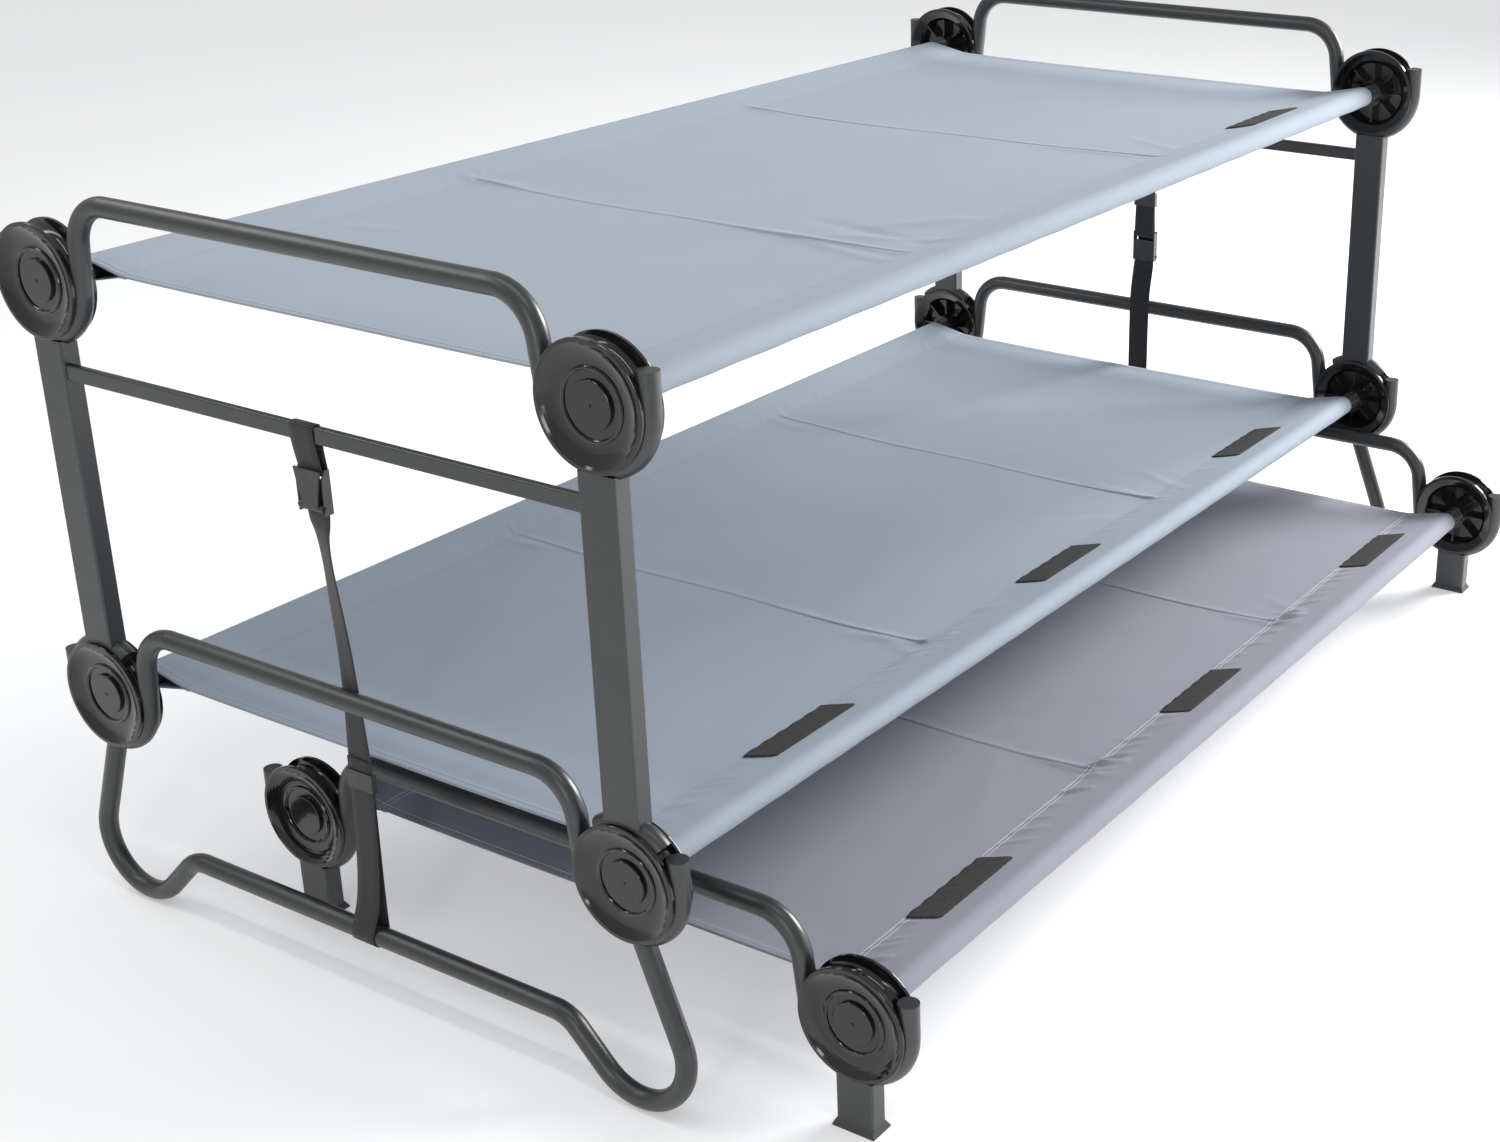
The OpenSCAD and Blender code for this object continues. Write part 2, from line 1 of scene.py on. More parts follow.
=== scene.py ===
"""The looks of a two-high camp cot with a trundle cot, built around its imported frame."""

import json
import math

import bpy
import numpy as np
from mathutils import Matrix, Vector


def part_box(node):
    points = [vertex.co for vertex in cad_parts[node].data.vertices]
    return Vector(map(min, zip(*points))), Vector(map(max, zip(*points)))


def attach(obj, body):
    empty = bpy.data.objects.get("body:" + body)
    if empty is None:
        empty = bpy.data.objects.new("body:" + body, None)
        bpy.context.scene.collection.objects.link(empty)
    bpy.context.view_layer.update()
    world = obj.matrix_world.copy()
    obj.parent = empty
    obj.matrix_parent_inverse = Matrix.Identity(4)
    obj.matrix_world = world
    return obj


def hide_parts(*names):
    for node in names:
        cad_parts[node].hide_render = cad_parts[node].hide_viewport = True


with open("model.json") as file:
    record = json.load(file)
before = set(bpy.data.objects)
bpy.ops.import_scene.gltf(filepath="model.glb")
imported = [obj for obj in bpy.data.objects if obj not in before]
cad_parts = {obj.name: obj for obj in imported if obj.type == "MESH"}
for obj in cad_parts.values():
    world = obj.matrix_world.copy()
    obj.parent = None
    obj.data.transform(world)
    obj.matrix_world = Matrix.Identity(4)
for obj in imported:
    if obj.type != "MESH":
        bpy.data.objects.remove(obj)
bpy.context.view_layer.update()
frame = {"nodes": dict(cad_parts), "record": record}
SLOTS = {s["node"]: s["material_slot"] for s in frame["record"]["subparts"]}
ENDS = ("near", "far")

# The camera, solved from the photograph: pixels, metres and degrees
IMAGE_W, IMAGE_H = 1500, 1142
FOCAL_PX = 2177
CENTRE_PX_X, CENTRE_PX_Y = 988.6, 539.1
CAMERA_PLACE = (-2.494, -1.737, 1.527)
CAMERA_HEADING = 57.75
CAMERA_DIP = 22.13
SENSOR_MM = 36

# The cloth of the decks, in metres
CLOTH_T = 0.0012
SLEEVE_GAP = 0.0003
SLEEVE_SLACK = 0.0003
SLACK_WAVES = ((60, 0), (57, 1))
HEM_IN = 0.070
KINK_R = 0.010
SEAM_INS = (0.0655, 0.0718)
SEAM_DIP, SEAM_DIP_W = 0.0005, 0.0018
UNDERLAP, LAP_SHARES = 0.010, (1, 0.5, 0.1)
LAP_DROP = CLOTH_T * 1.1
END_HEM = 0.014
END_HEM_RISE = 0.0003
END_HEM_SLOPE = 0.002
SAG, SAG_END_LOSS = 0.003, 0.5
WAVE_H = 0.0007
STILL_TO, FREE_OVER = 0.004, 0.030

# The two creases across each deck
CREASE_NEAR_W, CREASE_FAR_W = 0.0016, 0.0085
CREASE_H = 0.0017
CREASE_FADE = 0.016
CREASE_BEND = 0.0025
CREASE_PLAIN, CREASE_UNEVEN, CREASE_FRONT, CREASE_FRONT_REACH = 0.6, 0.15, 0.5, 0.16

# How closely the points of the cloth lie
COLUMN_STEP = 0.0042
CREASE_STEP = 0.0014
CREASE_REACH = 0.016
END_HEM_SHIFTS = (-0.003, -0.0015, 0, 0.0015)
SLOPE_ROWS, FIELD_ROWS = 32, 67
UNDER_ROWS, UNDER_FROM, ROUND_ROWS = 11, 0.06, 21
LEAST_STEP = 0.6 * CREASE_STEP

# Puckers of the sleeves: ranges in metres and degrees, and shares of their height
PUCKER_END = 0.03
PUCKER_STEP = (0.016, 0.048)
PUCKER_HEADING = (32, 46)
PUCKER_L = (0.034, 0.060)
PUCKER_W = (0.0036, 0.0058)
PUCKER_SHARE = (0.4, 1.2)
PUCKER_PLAIN, PUCKER_BESIDE, PUCKER_REACH = 0.55, 0.6, 0.09
PUCKER_BACK_LOSS = 0.35
PUCKER_PAST_SEAM = 0.004

# Hook-and-loop patches on the front sleeves
PATCH_T = 0.0022
PATCH_BORDER, PATCH_BORDER_LIFT, PATCH_LIFT = 0.985, PATCH_T * 0.15, PATCH_T * 0.5
PATCH_INS = (0.029, 0.0725)
PATCH_L = 0.165
PATCH_SLANT = 0.012
PATCH_CORNER = 0.003
PATCH_FRAY, PATCH_RIM, PATCH_RAGGED = 0.0006, 0.0004, 0.0009
PATCH_ROWS, PATCH_COLUMNS = 12, 61
PATCH_CALM, PATCH_CALM_OVER = 0.2, 0.02

# Stitches, and the shares of length and thickness along each
STITCH_L = 0.0034
STITCH_PITCH = 0.0044
THREAD_R = 0.00045
STITCH_SIDES = 5
STITCH_SHAPE = ((0.0, 0.15), (0.22, 1.0), (0.78, 1.0), (1.0, 0.15))
SEAM_END, HEM_END = 0.004, 0.012
HEM_STITCH_IN = 0.0025

# Webbing straps
WEB_W = 0.038
WEB_T = 0.0016
WEB_STEP = 0.003
WEB_EDGE = ((-1, -0.5), (-0.97, -1), (-0.5, -1), (0, -1), (0.5, -1), (0.97, -1), (1, -0.5),
            (1, 0.5), (0.97, 1), (0.5, 1), (0, 1), (-0.5, 1), (-0.97, 1), (-1, 0.5))
WEB_TWIST = {"near": 26, "far": 9}
TWIST_SHARES = ((0.09, 0.2), (0.16, 0.8), (0.32, 1.0), (0.52, 0.82), (0.79, 0.66))
BOW_FROM, BOW_OVER = 0.14, 0.78
TUBE_R = 0.0125
CAM_R = 0.005
TOP_BAR_R = 0.003
TOP_BAR_ARC = (165, 375)
FOOT_ARC = (20, -200)
BELT_TURN = 0.002
BELT_REACH = 0.012
LAYER = WEB_T * 0.55
TAIL_IN = WEB_T * 1.1
FAR_TAIL_Z = 0.190
ABOVE_PIN, BELOW_ARCH, ABOVE_FOOT = 0.01, 0.02, 0.05
ABOVE_SLIDE, OVER_SLIDE, BELOW_SLIDE, TAIL_END = 0.06, 0.02, 0.03, 0.028
FOOT_LEAN, BACK_LEAN = 0.002, WEB_T * 2.6 + 0.004

# The lamps: name, place, target, size in metres, and watts
LAMPS = (
    ("key", (3.8, -2.1, 2.2), (0.2, 0, 0.4), (2.4, 1.6), 340),
    ("panel", (-1.8, 2.1, 2.75), (-0.97, 0, 0.7), (2.8, 0.5), 19),
    ("strip", (-1.4, -0.5, 2.9), (-0.97, -0.5, 0.6), (3.0, 0.12), 12),
    ("front", (-3.0, -1.0, 1.2), (-0.97, -0.4, 0.7), (0.28, 1.5), 8),
    ("window", (0.1, -2.5, 0.7), (-0.95, -0.5, 0.6), (0.5, 0.9), 6),
)
SKY_COLOUR, SKY_STRENGTH = (0.97, 0.985, 1.0, 1), 0.56
FLOOR_HALF = 40


# The camera
def make_camera():
    data = bpy.data.cameras.new("camera")
    data.sensor_width = SENSOR_MM
    data.lens = FOCAL_PX * SENSOR_MM / IMAGE_W
    data.shift_x = (IMAGE_W / 2 - CENTRE_PX_X) / IMAGE_W
    data.shift_y = (CENTRE_PX_Y - IMAGE_H / 2) / IMAGE_W
    camera = bpy.data.objects.new("camera", data)
    camera.location = CAMERA_PLACE
    camera.rotation_euler = (math.radians(90 - CAMERA_DIP), 0, -math.radians(CAMERA_HEADING))
    bpy.context.scene.collection.objects.link(camera)
    bpy.context.scene.camera = camera


# Materials, made of nodes: pitches in metres, colours as linear light
WEAVE_PITCH = 0.0011
RIB_PITCH, PICK_PITCH = 0.0016, 0.0030
BLUE_DARK, BLUE_LIGHT = (0.280, 0.322, 0.382), (0.358, 0.400, 0.460)
GREY_DARK, GREY_LIGHT = (0.240, 0.249, 0.296), (0.308, 0.316, 0.366)
WHITE_THREAD, BLUE_THREAD = (0.78, 0.79, 0.80), (0.30, 0.34, 0.40)


class Paint:
    """A material with a Principled shader, and short calls for the nodes that feed it."""

    def __init__(self, name, **sockets):
        self.material = bpy.data.materials.new(name)
        self.material.use_nodes = True
        self.tree = self.material.node_tree
        self.shader = self.tree.nodes["Principled BSDF"]
        for socket, value in sockets.items():
            self.shader.inputs[socket.replace("_", " ")].default_value = value
        self.coords = self.node("TexCoord")

    def node(self, kind, **settings):
        made = self.tree.nodes.new("ShaderNode" + kind)
        for name, value in settings.items():
            setattr(made, name, value)
        return made

    def link(self, source, target):
        self.tree.links.new(source, target)

    def place(self, scale, from_uv=False):
        mapping = self.node("Mapping")
        mapping.inputs["Scale"].default_value = scale
        self.link(self.coords.outputs["UV" if from_uv else "Object"], mapping.inputs["Vector"])
        return mapping.outputs["Vector"]

    def noise(self, scale, detail=3, stretch=(1, 1, 1), roughness=0.5):
        made = self.node("TexNoise")
        made.inputs["Scale"].default_value = scale
        made.inputs["Detail"].default_value = detail
        made.inputs["Roughness"].default_value = roughness
        self.link(self.place(stretch), made.inputs["Vector"])
        return made.outputs["Fac"]

    def bands(self, pitch, direction):
        """A row of ridges across the piece's own surface, a pitch apart."""
        made = self.node("TexWave", bands_direction=direction)
        made.inputs["Scale"].default_value = math.pi / 10 / pitch
        self.link(self.place((1, 1, 1), from_uv=True), made.inputs["Vector"])
        return made.outputs["Fac"]

    def math(self, operation, a, b):
        made = self.node("Math", operation=operation)
        for socket, value in zip(made.inputs, (a, b)):
            if isinstance(value, (int, float)):
                socket.default_value = value
            else:
                self.link(value, socket)
        return made.outputs[0]

    def ramp(self, value, low, high, low_at=0.3, high_at=0.7):
        made = self.node("ValToRGB")
        for element, at, colour in zip(made.color_ramp.elements, (low_at, high_at), (low, high)):
            element.position = at
            element.color = (*colour, 1)
        self.link(value, made.inputs["Fac"])
        return made.outputs["Color"]

    def span(self, value, low, high):
        made = self.node("MapRange")
        made.inputs["To Min"].default_value = low
        made.inputs["To Max"].default_value = high
        self.link(value, made.inputs["Value"])
        return made.outputs["Result"]

    def colour(self, value):
        self.link(value, self.shader.inputs["Base Color"])

    def rough(self, value):
        self.link(value, self.shader.inputs["Roughness"])

    def bump(self, height, distance, strength=1.0, under=None):
        made = self.node("Bump")
        made.inputs["Distance"].default_value = distance
        made.inputs["Strength"].default_value = strength
        self.link(height, made.inputs["Height"])
        if under is not None:
            self.link(under, made.inputs["Normal"])
        self.link(made.outputs["Normal"], self.shader.inputs["Normal"])
        return made.outputs["Normal"]


def powder_coat():
    paint = Paint("powder_coat", Specular_IOR_Level=0.8)
    paint.colour(paint.ramp(paint.noise(14, 4), (0.014, 0.016, 0.017), (0.019, 0.021, 0.022)))
    paint.rough(paint.span(paint.noise(90, 5), 0.30, 0.42))
    orange_peel = paint.bump(paint.noise(900, 2), 0.00012, 0.5)
    paint.bump(paint.noise(3200, 2), 0.00004, 0.6, under=orange_peel)
    return paint.material


def disc_nylon():
    paint = Paint("disc_nylon", Specular_IOR_Level=0.05, Coat_Weight=1.0, Coat_Roughness=0.09,
                  Coat_IOR=1.54)
    paint.colour(paint.ramp(paint.noise(25, 3), (0.005, 0.005, 0.005), (0.009, 0.009, 0.009)))
    paint.rough(paint.span(paint.noise(60, 5), 0.12, 0.20))
    paint.bump(paint.noise(2600, 2), 0.00002, 0.5)
    return paint.material


def bright_steel():
    paint = Paint("bright_steel", Metallic=1.0, Base_Color=(0.62, 0.62, 0.63, 1))
    paint.rough(paint.span(paint.noise(160, 4, stretch=(0.15, 1, 1)), 0.20, 0.36))
    paint.bump(paint.noise(500, 3, stretch=(0.05, 1, 1)), 0.00003, 0.4)
    return paint.material


def foot_plastic():
    paint = Paint("foot_plastic", Specular_IOR_Level=0.4)
    paint.colour(paint.ramp(paint.noise(40, 3), (0.040, 0.043, 0.045), (0.052, 0.055, 0.057)))
    paint.rough(paint.span(paint.noise(120, 3), 0.45, 0.6))
    paint.bump(paint.noise(1500, 2), 0.0001, 0.5)
    return paint.material


def buckle_metal():
    paint = Paint("buckle_metal", Metallic=0.0, Specular_IOR_Level=0.6)
    paint.colour(paint.ramp(paint.noise(120, 3), (0.016, 0.017, 0.018), (0.028, 0.029, 0.030)))
    paint.rough(paint.span(paint.noise(300, 3), 0.26, 0.42))
    paint.bump(paint.noise(1800, 2), 0.00005, 0.5)
    return paint.material


def woven_cloth(name, dark, light):
    """Coated plain-weave cloth: two crossed rows of threads, with soft uneven dye and small puckers."""
    paint = Paint(name, Specular_IOR_Level=0.25, Sheen_Weight=0.12, Sheen_Roughness=0.5)
    weave = paint.math("MULTIPLY", paint.bands(WEAVE_PITCH, "X"), paint.bands(WEAVE_PITCH, "Y"))
    dye = paint.math("ADD", paint.math("MULTIPLY", paint.noise(7, 5), 0.25), 0.2)
    yarn = paint.math("MULTIPLY", weave, 0.22)
    paint.colour(paint.ramp(paint.math("ADD", dye, yarn), dark, light, 0.25, 0.85))
    paint.rough(paint.span(weave, 0.82, 0.66))
    puckers = paint.bump(paint.noise(34, 4, stretch=(0.7, 1, 1)), 0.0012, 0.35)
    paint.bump(weave, 0.00022, 0.5, under=puckers)
    return paint.material


def strap_webbing():
    paint = Paint("strap_webbing", Specular_IOR_Level=0.35, Sheen_Weight=0.15)
    ribs = paint.math("MULTIPLY", paint.bands(RIB_PITCH, "X"), paint.bands(PICK_PITCH, "Y"))
    paint.colour(paint.ramp(ribs, (0.014, 0.015, 0.016), (0.034, 0.036, 0.038), 0.0, 1.0))
    paint.rough(paint.span(ribs, 0.75, 0.5))
    paint.bump(ribs, 0.0004, 0.8)
    return paint.material


def patch_fuzz():
    paint = Paint("patch_fuzz", Specular_IOR_Level=0.1, Sheen_Weight=0.04, Roughness=0.95)
    fuzz = paint.noise(700, 4, roughness=0.7)
    paint.colour(paint.ramp(fuzz, (0.024, 0.024, 0.023), (0.078, 0.077, 0.074), 0.35, 0.75))
    paint.bump(fuzz, 0.0009, 1.0)
    return paint.material


def thread(name, colour):
    paint = Paint(name, Base_Color=(*colour, 1), Roughness=0.6, Specular_IOR_Level=0.3)
    paint.bump(paint.noise(4000, 1), 0.0001, 0.5)
    return paint.material


def floor_paint():
    paint = Paint("floor_paint", Roughness=0.6, Specular_IOR_Level=0.2,
                  Emission_Color=(1, 1, 1, 1), Emission_Strength=0.3)
    paint.colour(paint.ramp(paint.noise(1.5, 3), (0.78, 0.785, 0.79), (0.80, 0.80, 0.80)))
    return paint.material


def dress_frame(paints):
    """Gives each CAD node that shows the finish of its slot."""
    for name, node in frame["nodes"].items():
        node.data.materials.clear()
        node.data.materials.append(paints[SLOTS[name]])


# Meshes
def new_piece(name, points, faces, material, uvs=None, smooth=True):
    mesh = bpy.data.meshes.new(name)
    mesh.from_pydata([tuple(p) for p in points], [], [tuple(int(i) for i in f) for f in faces])
    mesh.update()
    if uvs is not None:
        layer = mesh.uv_layers.new(name="surface")
        corners = np.array([loop.vertex_index for loop in mesh.loops])
        layer.data.foreach_set("uv", np.asarray(uvs, float)[corners].ravel())
    mesh.polygons.foreach_set("use_smooth", [smooth] * len(mesh.polygons))
    mesh.materials.append(material)
    piece = bpy.data.objects.new(name, mesh)
    bpy.context.scene.collection.objects.link(piece)
    return piece


def grid_faces(rows, columns, start=0, wrap=False):
    """Quads of a grid of points that are stored row by row."""
    last = columns if wrap else columns - 1
    i, j = np.meshgrid(np.arange(rows - 1), np.arange(last), indexing="ij")
    k = (j + 1) % columns
    corners = np.stack([i * columns + j, (i + 1) * columns + j, (i + 1) * columns + k, i * columns + k], -1)
    return corners.reshape(-1, 4) + start


def thicken(piece, thickness):
    modifier = piece.modifiers.new("thickness", "SOLIDIFY")
    modifier.thickness = thickness
    modifier.offset = 0
    modifier.use_even_offset = True
    return piece


def smooth_step(x):
    x = np.clip(x, 0, 1)
    return x * x * (3 - 2 * x)


def fold(x, inset, x_at, inset_at, heading, length, width, height):
    """The height of one long soft fold of cloth that starts at a point and runs along a heading."""
    a = math.radians(heading)
    dx, di = x - x_at, inset - inset_at
    along = (dx * math.sin(a) + di * math.cos(a)) / length
    across = (dx * math.cos(a) - di * math.sin(a)) / width
    swell = np.sin(np.pi * np.clip(along, 0, 1)) ** 0.8
    return height * swell * np.exp(-across * across)


# The long folds of each deck: x from its middle, inset, heading, length, width and height
LONG_FOLDS = {
    "upper": (
        (-0.345, 0.040, 4, 0.30, 0.010, 0.0022),
        (-0.392, 0.030, 14, 0.24, 0.012, 0.0018),
        (-0.290, 0.020, 9, 0.28, 0.013, -0.0016),
        (-0.255, 0.030, -16, 0.20, 0.012, 0.0017),
        (-0.110, 0.060, -48, 0.20, 0.014, 0.0020),
        (-0.060, 0.060, -58, 0.28, 0.012, 0.0012),
        (0.313, 0.060, -4, 0.22, 0.010, 0.0014),
        (0.370, 0.050, 24, 0.14, 0.010, 0.0012),
        (-0.330, 0.830, 172, 0.12, 0.012, 0.0020),
        (-0.610, 0.800, 168, 0.16, 0.016, 0.0010),
        (0.300, 0.820, 186, 0.10, 0.012, 0.0015),
    ),
    "lower": (
        (-0.300, 0.040, -12, 0.16, 0.010, 0.0014),
        (-0.350, 0.040, 20, 0.12, 0.011, 0.0012),
        (-0.307, 0.072, 122, 0.056, 0.0050, 0.0050),
        (-0.297, 0.076, 115, 0.085, 0.0045, 0.0019),
        (-0.394, 0.064, 109, 0.066, 0.0050, 0.0024),
        (-0.193, 0.062, 107, 0.060, 0.0050, 0.0011),
        (0.329, 0.072, 120, 0.055, 0.0042, 0.0028),
        (0.262, 0.066, 110, 0.060, 0.0050, 0.0013),
        (0.335, 0.040, 5, 0.16, 0.010, 0.0016),
        (0.385, 0.030, 26, 0.14, 0.010, 0.0012),
        (0.250, 0.060, -42, 0.16, 0.012, 0.0011),
        (-0.880, 0.075, 40, 0.10, 0.008, 0.0012),
        (-0.895, 0.060, 62, 0.12, 0.007, 0.0012),
        (-0.330, 0.820, 175, 0.11, 0.012, 0.0018),
        (0.320, 0.820, 188, 0.10, 0.012, 0.0014),
    ),
    "trundle": (
        (-0.275, 0.020, 2, 0.14, 0.010, 0.0018),
        (-0.268, 0.076, 134, 0.064, 0.0056, 0.0062),
        (-0.237, 0.074, 136, 0.046, 0.0040, 0.0020),
        (-0.343, 0.072, 141, 0.048, 0.0038, 0.0020),
        (0.303, 0.076, 134, 0.060, 0.0054, 0.0056),
        (0.336, 0.074, 138, 0.048, 0.0040, 0.0018),
        (-0.235, 0.020, -22, 0.12, 0.009, 0.0012),
        (0.305, 0.010, -6, 0.15, 0.010, 0.0020),
        (0.335, 0.020, 28, 0.12, 0.009, 0.0014),
        (-0.520, 0.100, 66, 0.30, 0.016, 0.0009),
        (0.060, 0.110, -60, 0.26, 0.016, 0.0009),
    ),
}

# Where each deck's two fold creases meet its front and back rails, as x from the deck's middle
CREASES = {
    "upper": ((-0.338, -0.326), (0.322, 0.288)),
    "lower": ((-0.306, -0.308), (0.330, 0.338)),
    "trundle": ((-0.268, -0.272), (0.304, 0.290)),
}

# How high each deck's puckers rise and where they are drawn, and its patches' x from its middle
PUCKER_H = {"upper": 0.0006, "lower": 0.0011, "trundle": 0.0036}
PUCKER_SEED = {"upper": 3, "lower": 8, "trundle": 5}
PATCH_AT = {
    "upper": (0.640,),
    "lower": (-0.602, 0.022, 0.640),
    "trundle": (-0.614, 0.022, 0.645),
}


class Deck:
    """A deck's cloth: flat between two seams, with a sleeve round each side rail."""

    def __init__(self, cot):
        self.cot = cot
        low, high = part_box(f"{cot}_deck")
        front_low, front_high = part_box(f"{cot}_front_rail_middle")
        back_low, back_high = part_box(f"{cot}_back_rail_middle")
        self.x_mid = (low.x + high.x) / 2
        self.front = (front_low.y + front_high.y) / 2
        self.width = (back_low.y + back_high.y) / 2 - self.front
        self.z = (front_low.z + front_high.z) / 2
        self.r = (front_high.z - front_low.z) / 2 + SLEEVE_GAP + CLOTH_T / 2
        self.tangent = math.acos(self.r / HEM_IN)
        self.length = high.x - low.x
        self.puckers = self.make_puckers()

    def make_puckers(self):
        """Places and sizes of short slanting folds, higher beside the creases and the ends."""
        draw = np.random.RandomState(PUCKER_SEED[self.cot])
        half = self.length / 2
        folds = []
        for side in (0, 1):
            x = -half + PUCKER_END
            while x < half - PUCKER_END:
                beside = min(abs(x - crease[side]) for crease in CREASES[self.cot])
                beside = min(beside, half - abs(x))
                strength = PUCKER_PLAIN + PUCKER_BESIDE * math.exp(-beside / PUCKER_REACH)
                strength = strength * PUCKER_H[self.cot] * (1 - PUCKER_BACK_LOSS * side)
                turned, long, wide = (
                    draw.uniform(*limits) for limits in (PUCKER_HEADING, PUCKER_L, PUCKER_W)
                )
                folds.append((side, x, turned, long, wide, strength * draw.uniform(*PUCKER_SHARE)))
                x += draw.uniform(*PUCKER_STEP)
        return folds

    def base(self, inset):
        """The height of the cloth's middle over the rails' middles, with no folds in it."""
        near = np.minimum(inset, self.width - inset)
        start = self.r * math.cos(self.tangent)
        top = self.r * math.sin(self.tangent)
        arc = np.sqrt(np.maximum(self.r ** 2 - near ** 2, 0))
        before = HEM_IN - near
        slope = top * (before + np.sqrt(before ** 2 + KINK_R ** 2)) / 2 / (HEM_IN - start)
        return np.where(near < start, arc, np.minimum(slope, top))

    def folds(self, x, inset):
        """How far folds, creases, hems and sag move the cloth up, at x from the deck's middle."""
        half = self.length / 2
        near = np.minimum(inset, self.width - inset)
        free = smooth_step((near - STILL_TO) / FREE_OVER)
        span = np.clip((inset - HEM_IN) / (self.width - 2 * HEM_IN), 0, 1)
        height = -SAG * np.sin(np.pi * span) * (1 - SAG_END_LOSS * np.abs(x / half) ** 3)
        height = height + WAVE_H * np.sin(9 * x + 5 * inset + 1.3) * np.sin(7 * inset + 2 * x + 0.4)
        for front_x, back_x in CREASES[self.cot]:
            middle = front_x + (back_x - front_x) * inset / self.width
            d = x - middle - CREASE_BEND * np.sin(17 * inset + 1)
            d = d / np.where(d < 0, CREASE_NEAR_W, CREASE_FAR_W)
            strength = CREASE_PLAIN + CREASE_UNEVEN * np.sin(11 * inset + 40 * front_x)
            strength = strength + CREASE_FRONT * np.exp(-inset / CREASE_FRONT_REACH)
            inside = smooth_step((near - HEM_IN + CREASE_FADE) / CREASE_FADE)
            height = height + CREASE_H * strength * inside * np.exp(-d * d)
        for x_at, inset_at, heading, length, width, rise in LONG_FOLDS[self.cot]:
            height = height + fold(x, inset, x_at, inset_at, heading, length, width, rise)
        calm = self.calm(x)
        for side, x_at, heading, length, width, rise in self.puckers:
            sleeve = self.width - inset if side else inset
            short = fold(x, -sleeve, x_at, -HEM_IN - PUCKER_PAST_SEAM, heading, length, width, rise)
            height = height + short * (1 if side else calm)
        end = (half - np.abs(x) - END_HEM) / END_HEM_SLOPE
        dip = SEAM_DIP * np.exp(-((near - HEM_IN + SEAM_DIP_W) / SEAM_DIP_W) ** 2)
        return free * height - dip + END_HEM_RISE * (1 - smooth_step(end))

    def calm(self, x):
        """Nearly nothing where a patch holds the front sleeve flat, and 1 elsewhere."""
        weight = np.ones_like(x)
        for middle in PATCH_AT[self.cot]:
            beside = smooth_step((np.abs(x - middle) - PATCH_L / 2) / PATCH_CALM_OVER)
            weight = weight * (PATCH_CALM + (1 - PATCH_CALM) * beside)
        return weight

    def top(self, x, inset, lift=0.0):
        """Points on the cloth's middle, raised by a lift; x is from the deck's middle."""
        height = self.z + self.base(inset) + self.folds(x, inset) + lift
        return np.stack([x + self.x_mid, inset + self.front, height], -1)

    def section(self):
        """Stations of a sleeve's section, from the lap under its seam round the rail to the top."""
        tangent = np.array([math.cos(self.tangent), math.sin(self.tangent)]) * self.r
        lap_in = [HEM_IN + UNDERLAP * share for share in LAP_SHARES]
        lap = [(inset, float(self.base(inset)) - LAP_DROP) for inset in lap_in]
        seam = float(self.base(HEM_IN)) - LAP_DROP
        under = [
            (HEM_IN + (tangent[0] - HEM_IN) * t, seam * (1 - t) - tangent[1] * t)
            for t in np.linspace(UNDER_FROM, 1, UNDER_ROWS)
        ]
        arc = [
            (self.r * math.cos(a), self.r * math.sin(a))
            for a in np.linspace(2 * math.pi - self.tangent, self.tangent, ROUND_ROWS)[1:]
        ]
        return lap + under + arc

    def columns(self):
        """Places along the deck, closer together beside the creases and at the end hems."""
        half = self.length / 2
        places = list(np.linspace(-half, half, round(self.length / COLUMN_STEP)))
        for crease in CREASES[self.cot]:
            middle = sum(crease) / 2
            places += list(np.arange(middle - CREASE_REACH, middle + CREASE_REACH, CREASE_STEP))
        for end in (-1, 1):
            places += [end * (half - END_HEM + shift) for shift in END_HEM_SHIFTS]
        places = sorted(places)
        kept = [places[0]]
        for place in places[1:]:
            if place - kept[-1] > LEAST_STEP:
                kept.append(place)
        kept[-1] = half
        return np.array(kept)

    def sleeve(self, x, turn, side):
        """The rows of points under and round one rail, the front's or the back's, slack underneath."""
        waves, phase = SLACK_WAVES[side]
        rows = []
        for i, (inset, height) in enumerate(turn):
            share = smooth_step(np.array(i / len(turn)))
            slack = SLEEVE_SLACK * (1 + np.sin(waves * x + phase)) * np.sin(np.pi * share)
            y = self.front + (self.width - inset if side else inset)
            rows.append(np.stack([x + self.x_mid, np.full_like(x, y), self.z + height - slack], -1))
        return rows[::-1] if side else rows

    def cloth(self, material):
        """The whole sheet, from under the front seam over the top to under the back seam."""
        x = self.columns()
        turn = self.section()
        start = turn[-1][0]
        insets = np.concatenate([
            np.linspace(start, HEM_IN, SLOPE_ROWS)[1:],
            np.linspace(HEM_IN, self.width - HEM_IN, FIELD_ROWS)[1:-1],
            np.linspace(self.width - HEM_IN, self.width - start, SLOPE_ROWS)[:-1],
        ])
        field = [self.top(x, np.full_like(x, inset)) for inset in insets]
        rows = np.array(self.sleeve(x, turn, 0) + field + self.sleeve(x, turn, 1))
        steps = np.linalg.norm(np.diff(rows[:, 0], axis=0), axis=1)
        v = np.concatenate([[0], np.cumsum(steps)])
        uvs = np.stack(np.broadcast_arrays(x[None, :], v[:, None]), -1).reshape(-1, 2)
        faces = grid_faces(*rows.shape[:2])[:, ::-1]
        piece = new_piece(f"{self.cot}_deck_cloth", rows.reshape(-1, 3), faces, material, uvs)
        thicken(piece, CLOTH_T)
        self.cut_width = float(v[-1])
        return piece

